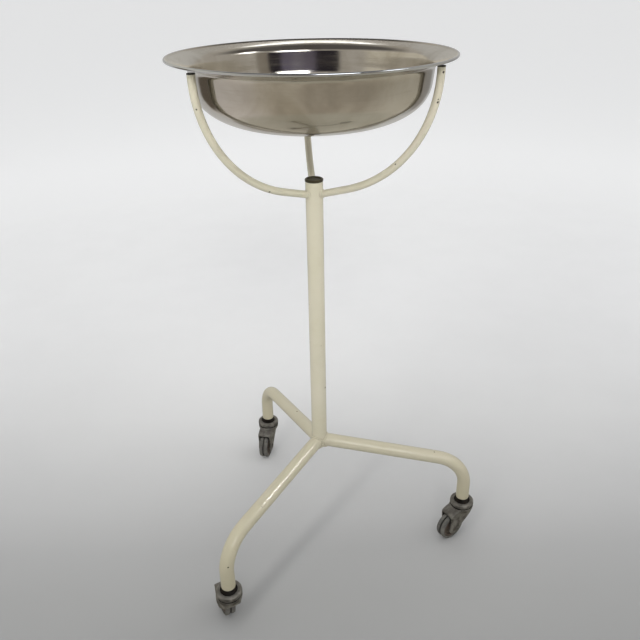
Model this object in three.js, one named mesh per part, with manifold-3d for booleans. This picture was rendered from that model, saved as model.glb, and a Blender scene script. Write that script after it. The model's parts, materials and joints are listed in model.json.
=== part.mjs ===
// Mobile hospital wash-basin stand: a stainless steel basin that lifts off three
// curved arms, on a welded tubular tripod with three swivel castors.
// Millimetres, +Z up, floor at z = 0, +X right, +Y back, origin at the centre of
// the footprint box.
import * as THREE from "three";
import { mergeVertices } from "three/addons/utils/BufferGeometryUtils.js";
import Module from "manifold-3d";

const wasm = await Module();
wasm.setup();

const DEG = Math.PI / 180;

// ---------- driving dimensions (mm, degrees) ----------
const AXIS_X = -41.6; // post axis, placed so that the origin is the
const AXIS_Y = -10.9; // centre of the overall box at floor level

const POST_R = 12.7; // 1 in tube
const POST_WALL = 1.5;
const POST_BOTTOM = 187.8;
const POST_TOP = 656.0;

const COPE_GAP = 0.3; // between a coped tube end and the post
const COPE_BOTTOM = 100; // the coping cutter spans every leg and arm joint
const COPE_TOP = 700;

const LEG_R = 11.2; // 7/8 in tube
const LEG_WALL = 1.5;
const LEG_START = 2; // uncoped end, from the post axis
const LEG_HUB_Z = 199.1; // where the centre line would meet the post axis
const LEG_KNEE_Z = 158.0; // where the sloping run would meet the drop
const LEG_REACH = 255.2; // post axis to castor swivel axis
const LEG_BEND = 56; // centre-line bend radius
const LEG_END_Z = 80.5;
const LEG_AZIMUTH = { right: -4.9, back: 115.1, front: 235.1 };
const TRAIL_AZIMUTH = { right: 213, back: 257, front: 117 }; // way each wheel trails at rest

const ARM_R = 5.2;
const ARM_WALL = 1.3;
const ARM_START = 3; // uncoped end, from the post axis
const ARM_ROOT_Z = 638.8; // centre line at the post's surface
const ARM_RISE = 16; // angle at which an arm leaves the post
const ARM_STRAIGHT = 40; // straight run before the bend
const ARM_BEND = 172;
const ARM_TIP_Z = 816.4;
const ARM_AZIMUTH = { right: -25.8, back: 94.0, left: 215.6 };

const BASIN_T = 1.0; // sheet thickness
const BEAD = { r: 189.9, z: 826.1, radius: 1.9 }; // section of the rolled edge

const WHEEL_R = 25;
const TYRE_W = 17;
const TRAIL = 25; // swivel axis to axle
const AXLE_R = 3.2;
const AXLE_HOLE_GAP = 0.1;
const BUSH_GAP = 0.16; // between bush and axle
const BUSH_R = 4.8;
const BUSH_HALF_W = 8.8;

const CHEEK_OUT = 12.8; // half widths of the fork, outside and inside its cheeks
const CHEEK_IN = 9.5;
const SEAT_Z = 63.6; // top of the fork casting
const AXLE_BOSS_R = 11.3; // rounded lower end of each cheek
const WHEEL_WELL_R = 28.3;
const WHEEL_WELL_SIDES = 24;
const POCKET_R = 9.0; // recess under the fork head
const POCKET_TOP = 58.4;
const STEM_HOLE_R = 6.3;

// ---------- materials ----------
const standard = (settings) => new THREE.MeshStandardMaterial(settings);
const ENAMEL = standard({ color: 0xe3dcc0, roughness: 0.28, metalness: 0.0 });
const STAINLESS = standard({ color: 0xb5b0a6, roughness: 0.22, metalness: 1.0 });
const CAST = standard({ color: 0x77766f, roughness: 0.55, metalness: 0.6 });
const STEEL = standard({ color: 0x8c857a, roughness: 0.4, metalness: 1.0 });
const RUBBER = standard({ color: 0x55554f, roughness: 0.8, metalness: 0.0 });
const PLUG = standard({ color: 0x23231c, roughness: 0.5, metalness: 0.0 });
const HUB = standard({ color: 0x6a5548, roughness: 0.7, metalness: 0.1 });

// ---------- solids and meshes ----------
function solid(geometry) {
  const flat = geometry.index ? geometry.toNonIndexed() : geometry.clone();
  for (const name of Object.keys(flat.attributes)) {
    if (name !== "position") flat.deleteAttribute(name);
  }
  const merged = mergeVertices(flat, 1e-4);
  const index = merged.index.array;
  const triangles = [];
  for (let i = 0; i < index.length; i += 3) {
    const [a, b, c] = index.slice(i, i + 3);
    if (a !== b && b !== c && a !== c) triangles.push([a, b, c]);
  }
  const build = (faces) =>
    new wasm.Manifold(
      new wasm.Mesh({
        numProp: 3,
        vertProperties: new Float32Array(merged.attributes.position.array),
        triVerts: new Uint32Array(faces.flat()),
      }),
    );
  const made = build(triangles);
  if (made.volume() > 0) return made;
  // the faces pointed inwards: turn them over
  return build(triangles.map(([a, b, c]) => [a, c, b]));
}

function piece(name, body, material) {
  const source = body.getMesh();
  const positions = new Float32Array(source.numVert * 3);
  for (let i = 0; i < source.numVert; i++) {
    for (let k = 0; k < 3; k++) {
      positions[3 * i + k] = source.vertProperties[i * source.numProp + k];
    }
  }
  const geometry = new THREE.BufferGeometry();
  geometry.setAttribute("position", new THREE.BufferAttribute(positions, 3));
  geometry.setIndex(new THREE.BufferAttribute(new Uint32Array(source.triVerts), 1));
  geometry.computeVertexNormals();
  const mesh = new THREE.Mesh(geometry, material);
  mesh.name = name;
  return mesh;
}

// ---------- profiles ----------
// rectangular profile of a ring, or of a rod when inner is 0
function ring(inner, outer, bottom, top) {
  return [[inner, bottom], [outer, bottom], [outer, top], [inner, top]];
}

// a profile given up to its middle, completed by reflection in z = 0
function mirrored(half) {
  const reflected = half.filter(([, z]) => z !== 0).map(([r, z]) => [r, -z]);
  return [...half, ...reflected.reverse()];
}

// steps + 1 points on an arc, angles in radians
function arc(centreX, centreZ, radius, from, to, steps) {
  return Array.from({ length: steps + 1 }, (_, i) => {
    const angle = from + ((to - from) * i) / steps;
    return [centreX + radius * Math.cos(angle), centreZ + radius * Math.sin(angle)];
  });
}

// ---------- shaping ----------
// surface about Z from [radius, height] points; closed on the axis or on itself
function lathe(profile, segments) {
  const points = profile.map(([r, z]) => new THREE.Vector2(r, z));
  const onAxis = profile[0][0] === 0 && profile.at(-1)[0] === 0;
  if (!onAxis) points.push(points[0].clone());
  return new THREE.LatheGeometry(points, segments).rotateX(Math.PI / 2);
}

const turned = (profile, segments) => solid(lathe(profile, segments));

// turned about Y, the axle
const turnedOnAxle = (profile, segments) => lathe(profile, segments).rotateX(Math.PI / 2);

// turned about Y; half a segment of turn lays a facet of the tread flat on the floor
function wheelTurned(profile, segments) {
  const geometry = lathe(profile, segments).rotateZ(Math.PI / segments);
  return solid(geometry.rotateX(Math.PI / 2).rotateY(Math.PI / 2));
}

// a plate with its [x, z] outline in the XZ plane and its thickness along Y
function plate(outline, halfWidth) {
  const shape = new THREE.Shape(outline.map(([x, z]) => new THREE.Vector2(x, z)));
  const geometry = new THREE.ExtrudeGeometry(shape, {
    depth: 2 * halfWidth,
    bevelEnabled: false,
  });
  return solid(geometry.rotateX(Math.PI / 2).translate(0, halfWidth, 0));
}

// a polyline followed station by station, whatever the distance between them
class Stations extends THREE.Curve {
  constructor(points) {
    super();
    this.points = points;
  }
  getPoint(t, target = new THREE.Vector3()) {
    const spans = this.points.length - 1;
    const i = Math.min(Math.floor(t * spans), spans - 1);
    return target.copy(this.points[i]).lerp(this.points[i + 1], t * spans - i);
  }
  getUtoTmapping(u) {
    return u;
  }
}

// a tube along [distance, height] stations in the XZ plane, coped to the post
function copedTube(stations, radius, wall, curveSegments) {
  const section = new THREE.Shape().absarc(0, 0, radius, 0, 2 * Math.PI, false);
  section.holes.push(new THREE.Path().absarc(0, 0, radius - wall, 0, 2 * Math.PI, true));
  const points = stations.map(([s, z]) => new THREE.Vector3(s, 0, z));
  const tube = new THREE.ExtrudeGeometry(section, {
    steps: points.length - 1,
    curveSegments,
    bevelEnabled: false,
    extrudePath: new Stations(points),
  });
  return solid(tube).subtract(turned(ring(0, POST_R + COPE_GAP, COPE_BOTTOM, COPE_TOP), 48));
}

function groupOnPost() {
  const group = new THREE.Group();
  group.position.set(AXIS_X, AXIS_Y, 0);
  return group;
}

// ---------- stand ----------
const postTube = () => turned(ring(POST_R - POST_WALL, POST_R, POST_BOTTOM, POST_TOP), 40);

const postPlug = () =>
  turned(
    [
      [0, POST_TOP - 14], [10.8, POST_TOP - 14], [10.8, POST_TOP + 0.3],
      [13.2, POST_TOP + 0.3], [13.2, POST_TOP + 2.2], [12.4, POST_TOP + 3.0],
      [0, POST_TOP + 3.0],
    ],
    28,
  );

// a sloping run out from the post, a bend, and a vertical drop to the castor
function legStations() {
  const slope = Math.atan2(LEG_HUB_Z - LEG_KNEE_Z, LEG_REACH);
  const turn = Math.PI / 2 - slope;
  const setback = LEG_BEND * Math.tan(turn / 2); // knee to the ends of the bend
  return [
    [LEG_START, LEG_HUB_Z - LEG_START * Math.tan(slope)],
    ...arc(LEG_REACH - LEG_BEND, LEG_KNEE_Z - setback, LEG_BEND, turn, 0, 7),
    [LEG_REACH, LEG_END_Z],
  ];
}

// a rising straight run, a bend up to vertical, and a short vertical end
function armStations() {
  const rise = ARM_RISE * DEG;
  const centreS = POST_R + ARM_STRAIGHT * Math.cos(rise) - ARM_BEND * Math.sin(rise);
  const centreZ = ARM_ROOT_Z + ARM_STRAIGHT * Math.sin(rise) + ARM_BEND * Math.cos(rise);
  return [
    [ARM_START, ARM_ROOT_Z - (POST_R - ARM_START) * Math.tan(rise)],
    ...arc(centreS, centreZ, ARM_BEND, rise - Math.PI / 2, 0, 9),
    [centreS + ARM_BEND, ARM_TIP_Z],
  ];
}

// heights from the end of the arm tube
const armCap = () =>
  turned([[0, -8], [3.0, -8], [3.0, 0.3], [5.5, 0.3], [5.5, 2.0], [4.9, 2.6], [0, 2.6]], 12);

function makeStand() {
  const stand = groupOnPost();
  stand.add(piece("post_tube", postTube(), ENAMEL));
  stand.add(piece("post_top_plug", postPlug(), PLUG));

  const legTube = copedTube(legStations(), LEG_R, LEG_WALL, 8);
  for (const [side, azimuth] of Object.entries(LEG_AZIMUTH)) {
    const leg = piece(`leg_${side}`, legTube, ENAMEL);
    leg.rotation.z = azimuth * DEG;
    stand.add(leg);
  }

  const armPath = armStations();
  const [tipReach, tipZ] = armPath.at(-1);
  const armTube = copedTube(armPath, ARM_R, ARM_WALL, 6);
  for (const [side, azimuth] of Object.entries(ARM_AZIMUTH)) {
    const arm = new THREE.Group();
    arm.rotation.z = azimuth * DEG;
    const cap = piece(`arm_${side}_cap`, armCap(), PLUG);
    cap.position.set(tipReach, 0, tipZ);
    arm.add(piece(`arm_${side}`, armTube, ENAMEL), cap);
    stand.add(arm);
  }
  return stand;
}

// ---------- basin ----------
// outside of the pressed bowl as [radius, height], from the centre of the base
// to the rolled edge
const BASIN_OUTSIDE = [
  [0, 735.0], [62, 735.0], [86, 738.4], [112, 744.8], [130, 752.2], [144, 760.8],
  [153, 770.4], [158.2, 784.0], [160.2, 812.0], [162.4, 817.0], [174, 821.2],
  [186.5, 824.6],
];

function basinProfile() {
  // each point moved inwards, square to the line between its neighbours
  const inside = BASIN_OUTSIDE.map(([r, z], i) => {
    if (i === 0) return [0, z + BASIN_T];
    const [r0, z0] = BASIN_OUTSIDE[i - 1];
    const [r1, z1] = BASIN_OUTSIDE[Math.min(i + 1, BASIN_OUTSIDE.length - 1)];
    const length = Math.hypot(r1 - r0, z1 - z0);
    // the rim of the base rises the full thickness, which keeps the base flat
    const lift = i === 1 ? BASIN_T : ((r1 - r0) / length) * BASIN_T;
    return [r - ((z1 - z0) / length) * BASIN_T, z + lift];
  });
  const bead = arc(BEAD.r, BEAD.z, BEAD.radius, -150 * DEG, 170 * DEG, 5);
  return [...BASIN_OUTSIDE, ...bead, ...inside.reverse()];
}

function makeBasin() {
  const group = groupOnPost();
  group.add(piece("basin", turned(basinProfile(), 44), STAINLESS));
  return group;
}

// ---------- castors ----------
// Castor frame: swivel axis on Z, wheel trailing along +X, floor at z = 0.
// Turned profiles are [radius, height]; plate outlines are [x, z].
function fork() {
  const head = turned(
    [[0, 44], [9.5, 44], [14.5, 48.5], [19.0, 54.5], [20.7, 59], [20.7, SEAT_Z], [0, SEAT_Z]],
    22,
  );
  const hood = plate(
    [
      [-15.5, 59], [-15, 51], [-11, 44], [-4, 37], [6, 29],
      ...arc(TRAIL, WHEEL_R, AXLE_BOSS_R, -150 * DEG, 0, 6),
      [36.0, 36], [36.3, 47], [35.6, 53.2], [33.5, 56.2], [27, 59.5], [17, 62.4], [-12, 62.4],
    ],
    CHEEK_OUT,
  );
  // round space for the wheel, a closed polygon with a flat side at +X
  const halfSide = Math.PI / WHEEL_WELL_SIDES;
  const well = plate(
    arc(
      TRAIL, WHEEL_R, WHEEL_WELL_R,
      halfSide, 2 * Math.PI - halfSide, WHEEL_WELL_SIDES - 1,
    ),
    CHEEK_IN,
  );
  // opens the space between the cheeks downwards and to the trailing end
  const opening = plate(
    [[-2, -6], [60, -6], [60, 44], [36, 50.8], [25, 30], [-2, 30]],
    CHEEK_IN,
  );
  const pocket = turned(ring(0, POCKET_R, 30, POCKET_TOP), 16);
  const stemHole = turned(ring(0, STEM_HOLE_R, 50, 70), 16);
  const axleHole = solid(
    turnedOnAxle(ring(0, AXLE_R + AXLE_HOLE_GAP, -30, 30), 16).translate(TRAIL, 0, WHEEL_R),
  );
  return [well, opening, pocket, stemHole, axleHole].reduce(
    (body, cut) => body.subtract(cut),
    head.add(hood),
  );
}

const swivelCup = () =>
  turned(
    [
      [7.2, SEAT_Z + 0.5], [19.6, SEAT_Z + 0.5], [20.7, SEAT_Z + 2.6], [20.3, SEAT_Z + 7.4],
      [18.0, SEAT_Z + 9.7], [14.3, SEAT_Z + 9.1], [14.5, SEAT_Z + 2.1], [7.2, SEAT_Z + 2.1],
    ],
    22,
  );

const ballRace = () =>
  turned(
    [
      [6.4, SEAT_Z + 2.5], [12.9, SEAT_Z + 2.5], [13.7, SEAT_Z + 4.2],
      [12.9, SEAT_Z + 5.9], [6.4, SEAT_Z + 5.9],
    ],
    16,
  );

// foot inside the fork head, collar above the race, then a pin up into the leg
const stem = () =>
  turned(
    [
      [0, 54.6], [8.2, 54.6], [8.2, 57.0], [5.6, 58.0],
      [5.6, SEAT_Z + 6.3], [12.2, SEAT_Z + 6.3], [12.2, SEAT_Z + 8.6],
      [7.4, SEAT_Z + 11.2], [5.6, SEAT_Z + 13.2],
      [5.6, 114.4], [0, 114.4],
    ],
    14,
  );

// lines the leg's end, with a flange just below it
const stemSleeve = () =>
  turned(
    [
      [5.9, LEG_END_Z - 1.7], [10.4, LEG_END_Z - 1.7], [10.8, LEG_END_Z - 0.3],
      [9.2, LEG_END_Z - 0.3], [9.2, LEG_END_Z + 29], [5.9, LEG_END_Z + 29],
    ],
    14,
  );

// Wheel profiles are [radius, distance along the axle], from one side to the middle.
const axle = () =>
  solid(turnedOnAxle(mirrored([[0, -14.5], [4.2, -14.5], [5.0, -13.1], [AXLE_R, -13.1]]), 12));

const wheelBush = () =>
  wheelTurned(ring(AXLE_R + BUSH_GAP, BUSH_R, -BUSH_HALF_W, BUSH_HALF_W), 14);

const wheelHub = () =>
  wheelTurned(
    mirrored([[5.1, -8.2], [8.2, -8.2], [8.8, -5.0], [14.6, -5.0], [15.2, -7.0], [17.0, -7.0]]),
    20,
  );

// grooved round the middle of the tread
function tyre() {
  const segments = 28;
  // vertex radius that brings the facets to the wheel radius
  const treadR = WHEEL_R / Math.cos(Math.PI / segments);
  const side = -TYRE_W / 2;
  return wheelTurned(
    mirrored([
      [17.4, -7.2], [19.5, side], [treadR - 2.0, side],
      [treadR, side + 2.4], [treadR, -1.1], [treadR - 2.2, 0],
    ]),
    segments,
  );
}

function makeCastors() {
  const swivelParts = [
    ["fork", fork(), CAST],
    ["swivel_cup", swivelCup(), CAST],
    ["ball_race", ballRace(), STEEL],
    ["stem", stem(), STEEL],
    ["stem_sleeve", stemSleeve(), PLUG],
  ];
  const wheelParts = [
    ["axle", axle(), STEEL],
    ["wheel_bush", wheelBush(), STEEL],
    ["wheel_hub", wheelHub(), HUB],
    ["tyre", tyre(), RUBBER],
  ];
  const castors = groupOnPost();
  for (const [side, azimuth] of Object.entries(LEG_AZIMUTH)) {
    const addParts = (group, parts) => {
      for (const [part, body, material] of parts) {
        group.add(piece(`castor_${side}_${part}`, body, material));
      }
    };
    const castor = new THREE.Group();
    const angle = azimuth * DEG;
    castor.position.set(LEG_REACH * Math.cos(angle), LEG_REACH * Math.sin(angle), 0);
    castor.rotation.z = TRAIL_AZIMUTH[side] * DEG;
    addParts(castor, swivelParts);
    const wheel = new THREE.Group();
    wheel.position.set(TRAIL, 0, WHEEL_R);
    addParts(wheel, wheelParts);
    castor.add(wheel);
    castors.add(castor);
  }
  return castors;
}

const basinStand = new THREE.Group();
basinStand.name = "wash_basin_stand";
basinStand.add(makeStand(), makeBasin(), makeCastors());
export default basinStand;
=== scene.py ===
"""A stainless basin over a wheeled stand. A hollow post carries three bent legs on castors and
three bent arms that rise round the basin. +Z is up, the floor is z = 0 and the camera stands on
the -Y side. Shapes are in mm; materials, lights and camera are in metres.
"""
import bpy
import bmesh
import json
import math
import numpy as np
from mathutils import Vector, Matrix

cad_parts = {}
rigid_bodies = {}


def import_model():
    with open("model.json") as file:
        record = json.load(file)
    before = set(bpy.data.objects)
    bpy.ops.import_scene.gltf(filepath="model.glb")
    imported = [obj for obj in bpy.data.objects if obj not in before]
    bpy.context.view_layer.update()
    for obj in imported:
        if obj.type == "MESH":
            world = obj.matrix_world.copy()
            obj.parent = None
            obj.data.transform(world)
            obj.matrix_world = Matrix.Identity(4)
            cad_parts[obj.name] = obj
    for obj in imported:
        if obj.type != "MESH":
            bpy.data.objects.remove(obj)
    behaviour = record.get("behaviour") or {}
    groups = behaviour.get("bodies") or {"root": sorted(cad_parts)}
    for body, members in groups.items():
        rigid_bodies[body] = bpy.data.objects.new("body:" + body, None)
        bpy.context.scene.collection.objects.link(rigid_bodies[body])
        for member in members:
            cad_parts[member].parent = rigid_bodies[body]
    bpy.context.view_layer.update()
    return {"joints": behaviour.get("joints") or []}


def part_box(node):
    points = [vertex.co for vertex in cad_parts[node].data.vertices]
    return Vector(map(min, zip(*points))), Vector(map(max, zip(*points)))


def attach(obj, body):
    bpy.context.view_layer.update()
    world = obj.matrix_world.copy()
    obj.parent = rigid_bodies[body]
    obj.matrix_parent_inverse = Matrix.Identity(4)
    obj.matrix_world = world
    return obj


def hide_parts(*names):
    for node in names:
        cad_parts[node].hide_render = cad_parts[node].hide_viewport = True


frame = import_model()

MM = 0.001  # metres in a millimetre
scene = bpy.context.scene

# ---------------------------------------------------------------- places read from the frame
post_low, post_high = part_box("post_tube")
POST_X = (post_low.x + post_high.x) / 2 / MM
POST_Y = (post_low.y + post_high.y) / 2 / MM
POST_R = (post_high.x - post_low.x) / 2 / MM
POST_BOTTOM = post_low.z / MM
POST_TOP = post_high.z / MM
POST_AT = (POST_X, POST_Y, 0)
LEG_END_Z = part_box("leg_right")[0].z / MM
ARM_TIP_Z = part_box("arm_right")[1].z / MM
SEAT_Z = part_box("castor_right_fork")[1].z / MM  # top of the castor casting

CASTOR_SIDES = ("right", "back", "front")
ARM_SIDES = ("right", "back", "left")
JOINTS = {joint["name"]: joint for joint in frame["joints"]}


def joint_place(name):
    return [value / MM for value in JOINTS[name]["pos_m"]]


def cap_place(side):
    low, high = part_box(f"arm_{side}_cap")
    return (low.x + high.x) / 2 / MM, (low.y + high.y) / 2 / MM


def bearing(start, end):
    """Direction from start to end in plan, in radians from +X."""
    return math.atan2(end[1] - start[1], end[0] - start[0])


def span(start, end):
    return math.hypot(end[0] - start[0], end[1] - start[1])


SWIVEL = {side: joint_place(f"castor_{side}_swivel") for side in CASTOR_SIDES}
WHEEL = {side: joint_place(f"castor_{side}_roll") for side in CASTOR_SIDES}
CAP = {side: cap_place(side) for side in ARM_SIDES}
LEG_TURN = {side: bearing(POST_AT, SWIVEL[side]) for side in CASTOR_SIDES}
LEG_REACH = span(POST_AT, SWIVEL["right"])
TRAIL = span(SWIVEL["right"], WHEEL["right"])  # swivel axis to wheel axis, in plan
WHEEL_R = WHEEL["right"][2]


# ---------------------------------------------------------------- mesh helpers
# A shape is a pair: vertices in mm, faces as vertex indices.
def add_mesh(name, shape, finish, body, at, turn=0.0, replaced=None, sharp=None):
    """Add a shape turned about Z and moved; finish is (material, slot), sharp is in degrees. The slot
    in finish is not used.
    """
    verts, faces = shape
    material, slot = finish
    mesh = bpy.data.meshes.new(name)
    points = place(verts, at, turn) * MM
    mesh.from_pydata([tuple(p) for p in points], [], [tuple(int(i) for i in f) for f in faces])
    mesh.validate()
    mesh.update()
    ob = bpy.data.objects.new(name, mesh)
    scene.collection.objects.link(ob)
    bm = bmesh.new()
    bm.from_mesh(mesh)
    bmesh.ops.remove_doubles(bm, verts=bm.verts, dist=1e-6)
    bmesh.ops.recalc_face_normals(bm, faces=bm.faces)
    bm.to_mesh(mesh)
    bm.free()
    mesh.polygons.foreach_set("use_smooth", [True] * len(mesh.polygons))
    if sharp:
        mesh.set_sharp_from_angle(angle=math.radians(sharp))
    mesh.materials.append(material)
    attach(ob, body)
    if replaced:
        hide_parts(replaced)


def place(verts, at, turn):
    cos, sin = math.cos(turn), math.sin(turn)
    source = np.asarray(verts, float)
    out = np.empty_like(source)
    out[:, 0] = source[:, 0] * cos - source[:, 1] * sin + at[0]
    out[:, 1] = source[:, 0] * sin + source[:, 1] * cos + at[1]
    out[:, 2] = source[:, 2] + at[2]
    return out


def join(shapes):
    verts, faces, count = [], [], 0
    for part_verts, part_faces in shapes:
        verts.append(part_verts)
        faces += [tuple(i + count for i in face) for face in part_faces]
        count += len(part_verts)
    return np.concatenate(verts), faces


def grid_faces(rows, cols, close_rows=False):
    """Quads between rings of cols vertices; close_rows joins the last ring to the first."""
    faces = []
    for i in range(rows if close_rows else rows - 1):
        here, there = i * cols, (i + 1) % rows * cols
        for j in range(cols):
            k = (j + 1) % cols
            faces.append((here + j, here + k, there + k, there + j))
    return faces


def lathe(profile, segs, wobble=None):
    """Turn (radius, z) points about Z. Points on the axis become poles; the last ring joins
    the first unless both are poles."""
    rings, verts, faces = [], [], []
    for r, z in profile:
        base = len(verts)
        if r <= 1e-9:
            rings.append([base])
            verts.append((0, 0, z))
            continue
        for k in range(segs):
            angle = 2 * math.pi * k / segs
            radius, height = wobble(r, z, angle) if wobble else (r, z)
            verts.append((radius * math.cos(angle), radius * math.sin(angle), height))
        rings.append(list(range(base, base + segs)))
    for this, after in zip(rings, rings[1:] + rings[:1]):
        if len(this) == 1 and len(after) == 1:
            continue
        for k in range(segs):
            k2 = (k + 1) % segs
            if len(this) == 1:
                faces.append((this[0], after[k2], after[k]))
            elif len(after) == 1:
                faces.append((this[k], this[k2], after[0]))
            else:
                faces.append((this[k], this[k2], after[k2], after[k]))
    return np.array(verts, float), faces


def lifted(points, height):
    return [(r, z + height) for r, z in points]


def mirrored(points):
    """The points, then the same points backwards with z negated."""
    return points + [(r, -z) for r, z in reversed(points)]


def rounded(points, radii, steps):
    """Round a polyline's corners; radii is one number or one per point. The ends stay sharp."""
    if not isinstance(radii, list):
        radii = [radii] * len(points)
    corners = [np.array(p, float) for p in points]
    out = []
    for i, corner in enumerate(corners):
        if i == 0 or i == len(corners) - 1:
            out.append(tuple(corner))
            continue
        back, ahead = corners[i - 1] - corner, corners[i + 1] - corner
        back_length, ahead_length = np.linalg.norm(back), np.linalg.norm(ahead)
        back, ahead = back / back_length, ahead / ahead_length
        half = math.acos(float(np.clip(back @ ahead, -1, 1))) / 2
        if half > math.pi / 2 - 0.02:  # almost straight
            out.append(tuple(corner))
            continue
        cut = min(radii[i] / math.tan(half), back_length * 0.49, ahead_length * 0.49)
        radius = cut * math.tan(half)
        middle = back + ahead
        centre = corner + middle / np.linalg.norm(middle) * (radius / math.sin(half))
        start, end = corner + back * cut - centre, corner + ahead * cut - centre
        sweep = math.pi - 2 * half
        for k in range(steps + 1):
            t = k / steps
            start_share = math.sin((1 - t) * sweep) / math.sin(sweep)
            end_share = math.sin(t * sweep) / math.sin(sweep)
            out.append(tuple(centre + start * start_share + end * end_share))
    return out


def spline(points, steps):
    """Smooth curve through the points, with tangents eased by the spacing's square root."""
    knots = np.array(points, float)
    last = len(knots) - 2
    out = []
    for i in range(last + 1):
        p0, p1 = knots[max(i - 1, 0)], knots[i]
        p2, p3 = knots[i + 1], knots[min(i + 2, last + 1)]
        gap0, gap1, gap2 = (np.linalg.norm(d) ** 0.5 for d in (p1 - p0, p2 - p1, p3 - p2))
        leave = arrive = p2 - p1
        if i > 0:
            leave = (p2 - p1) + gap1 * ((p1 - p0) / gap0 - (p2 - p0) / (gap0 + gap1))
        if i < last:
            arrive = (p2 - p1) + gap1 * ((p3 - p2) / gap2 - (p3 - p1) / (gap1 + gap2))
        for k in range(steps):
            t = k / steps
            out.append((2 * t**3 - 3 * t**2 + 1) * p1 + (t**3 - 2 * t**2 + t) * leave
                       + (-2 * t**3 + 3 * t**2) * p2 + (t**3 - t**2) * arrive)
    out.append(knots[-1])
    return np.array(out)


# ---------------------------------------------------------------- tubes welded to the post
# Tubes lie in the plane y = 0, with x the distance from the post's axis.
TUBE_SINK = 0.25   # how far a coped tube end enters the post
WELD_PROUD = 0.45  # bead centre off the joint, as a share of the bead size


def saddle(theta, radius, slope, axis_z, post_r):
    """Where the line along a tube's wall at angle theta meets the post. The tube's axis
    leaves the post's axis at axis_z and rises by slope."""
    across, above = radius * math.cos(theta), radius * math.sin(theta)
    depth = math.sqrt(max(post_r * post_r - across ** 2, 0.0))
    run = (depth + above * math.sin(slope)) / math.cos(slope)
    return (run * math.cos(slope) - above * math.sin(slope), across,
            axis_z + run * math.sin(slope) + above * math.cos(slope))


def bent_tube(path, radius, wall, segs, slope, axis_z, bulge=None):
    """Hollow tube along (distance, height) stations, its first ring coped to the post."""
    stations = np.array(path, float)
    count = len(stations)
    verts = []
    for skin in (radius, radius - wall):
        for i, station in enumerate(stations):
            along = stations[min(i + 1, count - 1)] - stations[max(i - 1, 0)]
            along /= np.linalg.norm(along)
            up = np.array([-along[1], along[0]])
            for k in range(segs):
                theta = 2 * math.pi * k / segs
                if i == 0:
                    verts.append(saddle(theta, skin, slope, axis_z, POST_R - TUBE_SINK))
                    continue
                ring_r = skin
                if bulge and skin == radius:
                    ring_r = skin + bulge(i / (count - 1), theta)
                point = station + up * ring_r * math.sin(theta)
                verts.append((point[0], ring_r * math.cos(theta), point[1]))
    faces = grid_faces(count, segs)
    inner = count * segs
    faces += [tuple(inner + i for i in reversed(face)) for face in grid_faces(count, segs)]
    for k in range(segs):
        k2 = (k + 1) % segs
        faces.append((k2, k, inner + k, inner + k2))
        end, end2 = (count - 1) * segs + k, (count - 1) * segs + k2
        faces.append((end, end2, inner + end2, inner + end))
    return np.array(verts, float), faces


def weld_bead(radius, slope, axis_z, size, seed, segs, cross=12):
    """Rippled bead along the saddle curve between a tube and the post."""
    phase = np.random.RandomState(seed).rand(6) * 6.28
    verts = []
    for k in range(segs):
        theta = 2 * math.pi * k / segs
        centre = np.array(saddle(theta, radius, slope, axis_z, POST_R))
        post_normal = np.array([centre[0], centre[1], 0.0])
        post_normal /= np.linalg.norm(post_normal)
        tube_normal = np.array([-math.sin(slope) * math.sin(theta), math.cos(theta),
                                math.cos(slope) * math.sin(theta)])
        along = np.cross(post_normal, tube_normal)
        along /= np.linalg.norm(along)
        outward = post_normal + tube_normal
        outward /= np.linalg.norm(outward)
        side = np.cross(along, outward)
        ripple = (1 + 0.10 * math.sin(17 * theta + phase[0]) + 0.07 * math.sin(29 * theta + phase[1])
                  + 0.10 * math.sin(3 * theta + phase[2]))
        for j in range(cross):
            angle = 2 * math.pi * j / cross
            lift = WELD_PROUD * size + size * ripple * 0.85 * math.cos(angle)
            verts.append(tuple(centre + outward * lift + side * size * ripple * math.sin(angle)))
    return np.array(verts, float), grid_faces(segs, cross, close_rows=True)


# ---------------------------------------------------------------- distance fields, negative inside
def surface_nets(field, origin, cell):
    """Closed quad mesh of the zero level of a grid of distances."""
    inside = field < 0
    total = np.zeros((*(size - 1 for size in field.shape), 3))
    count = np.zeros(total.shape[:3])

    def at_corner(corner):
        return field[tuple(slice(c, size - 1 + c) for c, size in zip(corner, field.shape))]

    # each cell's vertex is the mean of the crossings on its edges
    for start in np.ndindex(2, 2, 2):
        for axis in range(3):
            if start[axis] == 1:
                continue
            end = list(start)
            end[axis] = 1
            here, there = at_corner(start), at_corner(end)
            crosses = (here < 0) != (there < 0)
            share = np.where(crosses, here / np.where(crosses, here - there, 1), 0)
            for k in range(3):
                total[..., k] += np.where(crosses, share if k == axis else start[k], 0)
            count += crosses
    active = count > 0
    index = -np.ones(active.shape, int)
    index[active] = np.arange(active.sum())
    verts = np.argwhere(active) + total[active] / count[active][:, None]
    verts = verts * cell + np.array(origin)
    # each grid edge that crosses the surface gives a quad between the four cells round it
    faces = []
    for axis in range(3):
        first, second = [slice(1, -1)] * 3, [slice(1, -1)] * 3
        first[axis], second[axis] = slice(0, -1), slice(1, None)
        here, there = inside[tuple(first)], inside[tuple(second)]
        flip = here[here != there]
        offset = np.array([1, 1, 1])
        offset[axis] = 0
        base = np.argwhere(here != there) + offset
        side_a, side_b = [k for k in range(3) if k != axis]
        corners = []
        for step_a, step_b in ((0, 0), (1, 0), (1, 1), (0, 1)):
            at = base.copy()
            at[:, side_a] -= step_a
            at[:, side_b] -= step_b
            corners.append(index[at[:, 0], at[:, 1], at[:, 2]])
        quads = np.stack(corners, 1)
        if axis == 1:
            flip = ~flip
        quads[flip] = quads[flip][:, ::-1]
        faces.append(quads)
    faces = np.concatenate(faces)
    return verts, faces[(faces >= 0).all(1)]


def smooth_max(a, b, blend):
    share = np.clip(0.5 - 0.5 * (b - a) / blend, 0, 1)
    return b * (1 - share) + a * share + blend * share * (1 - share)


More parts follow.
